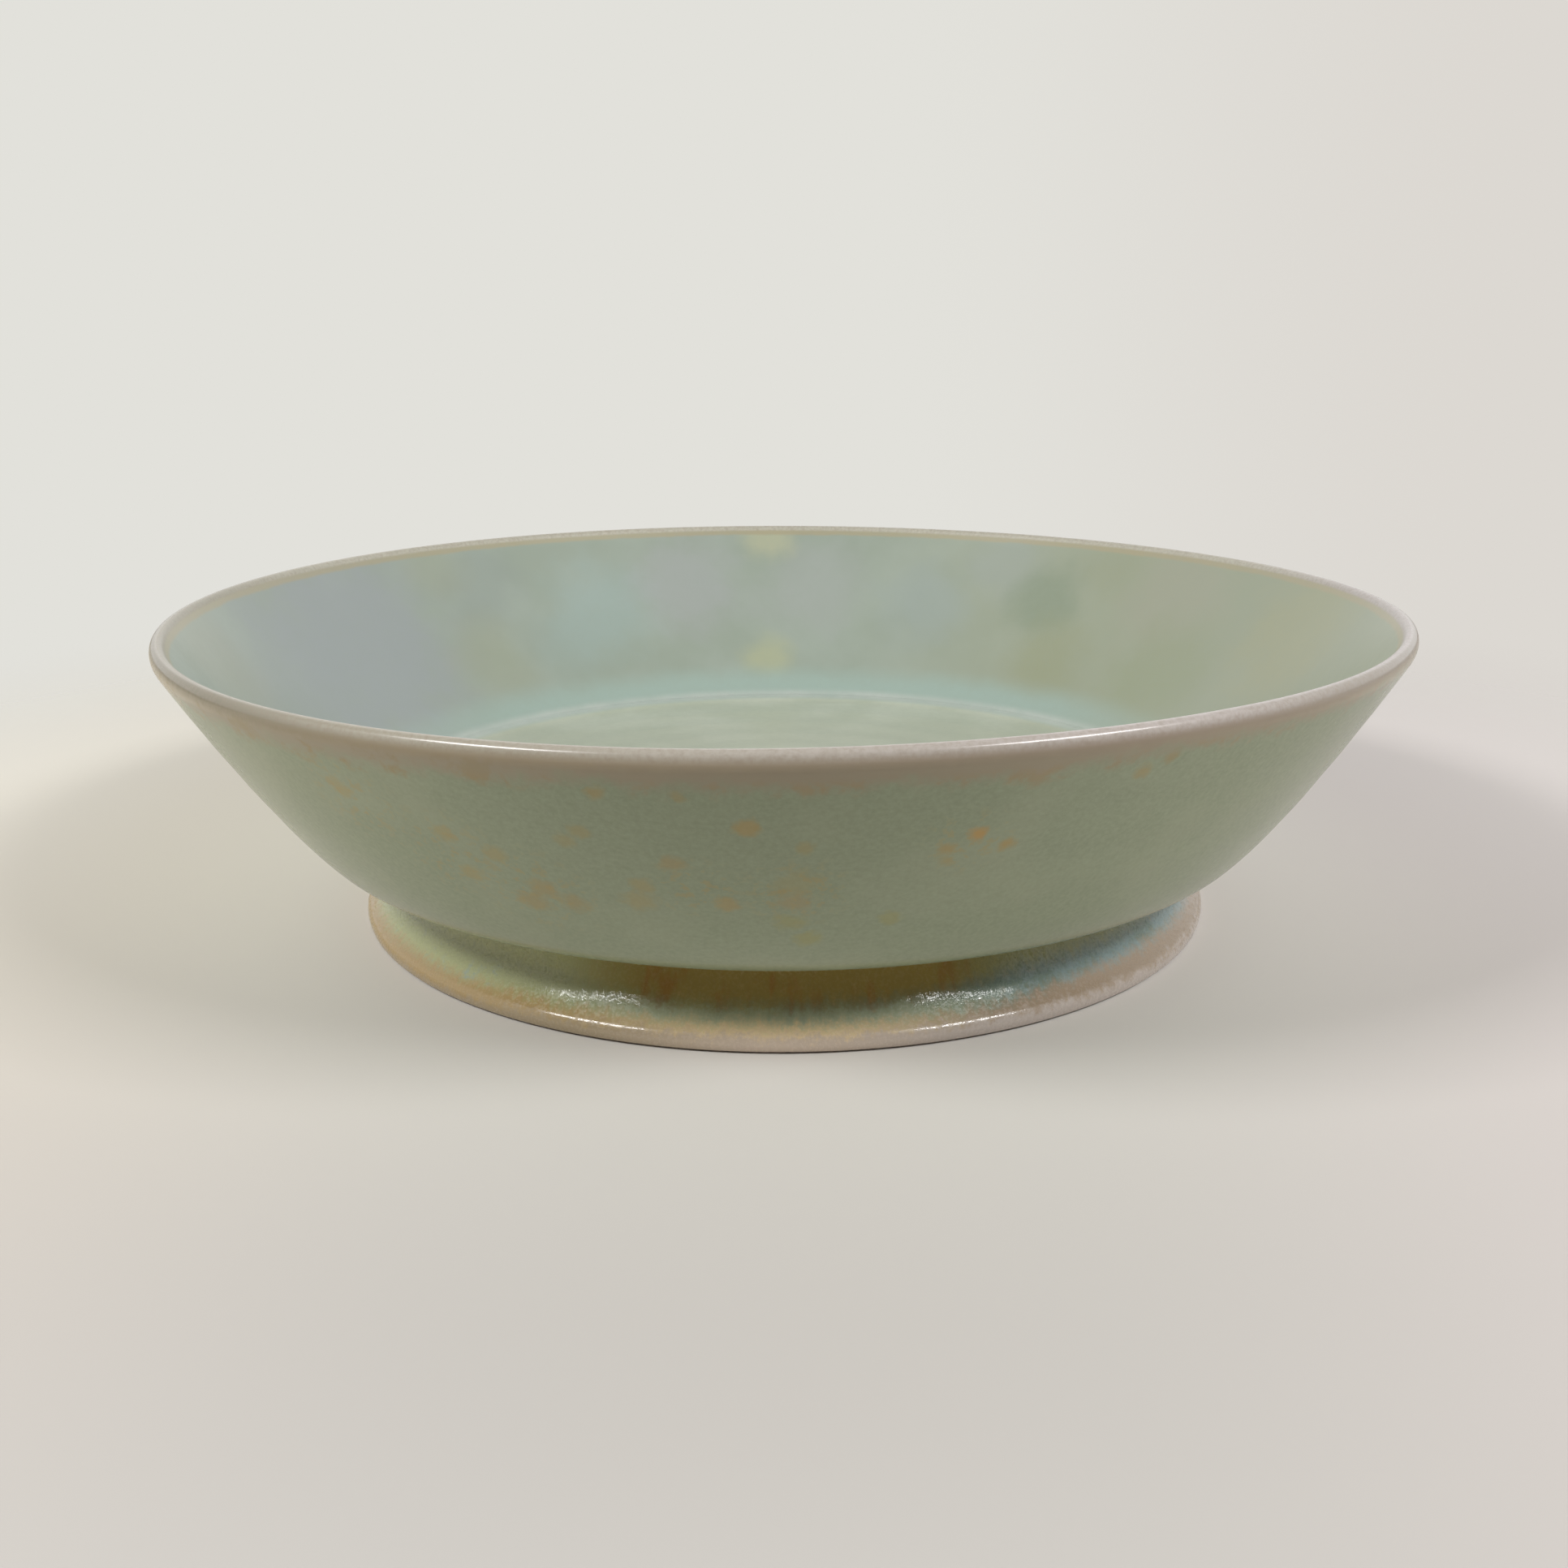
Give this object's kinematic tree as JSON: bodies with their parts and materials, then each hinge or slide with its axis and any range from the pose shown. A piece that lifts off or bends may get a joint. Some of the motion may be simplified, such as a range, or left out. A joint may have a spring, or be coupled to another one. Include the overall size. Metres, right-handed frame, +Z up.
{
  "type": "shallow dish",
  "caption": "Round shallow dish with a curved wall rising from a keel, a ringed sunken floor and a spreading foot, in a glossy grey-green glaze that thins to brown at its edges.",
  "frame": {"origin": "centre of the circle on which the foot stands, at the height of the table", "axes": "+Z up along the axis that the dish was thrown on; the dish is round, so +X and +Y are any two level directions"},
  "size_m": [0.16, 0.16, 0.0404],
  "materials": {
    "clay": "bare fired stoneware",
    "slip": "fired slip",
    "wall_glaze": "glossy olive grey-green glaze with iron specks",
    "pool_glaze": "glossy grey-green glaze, pooled",
    "foot_glaze": "glossy blue-green glaze, brown where thin"
  },
  "bodies": {
    "root": {"bowl_body": "clay", "foot_ring": "clay", "luting_slip": "slip", "exterior_glaze": "wall_glaze", "interior_glaze": "pool_glaze", "foot_glaze": "foot_glaze", "base_glaze": "foot_glaze"}
  },
  "joints": []
}
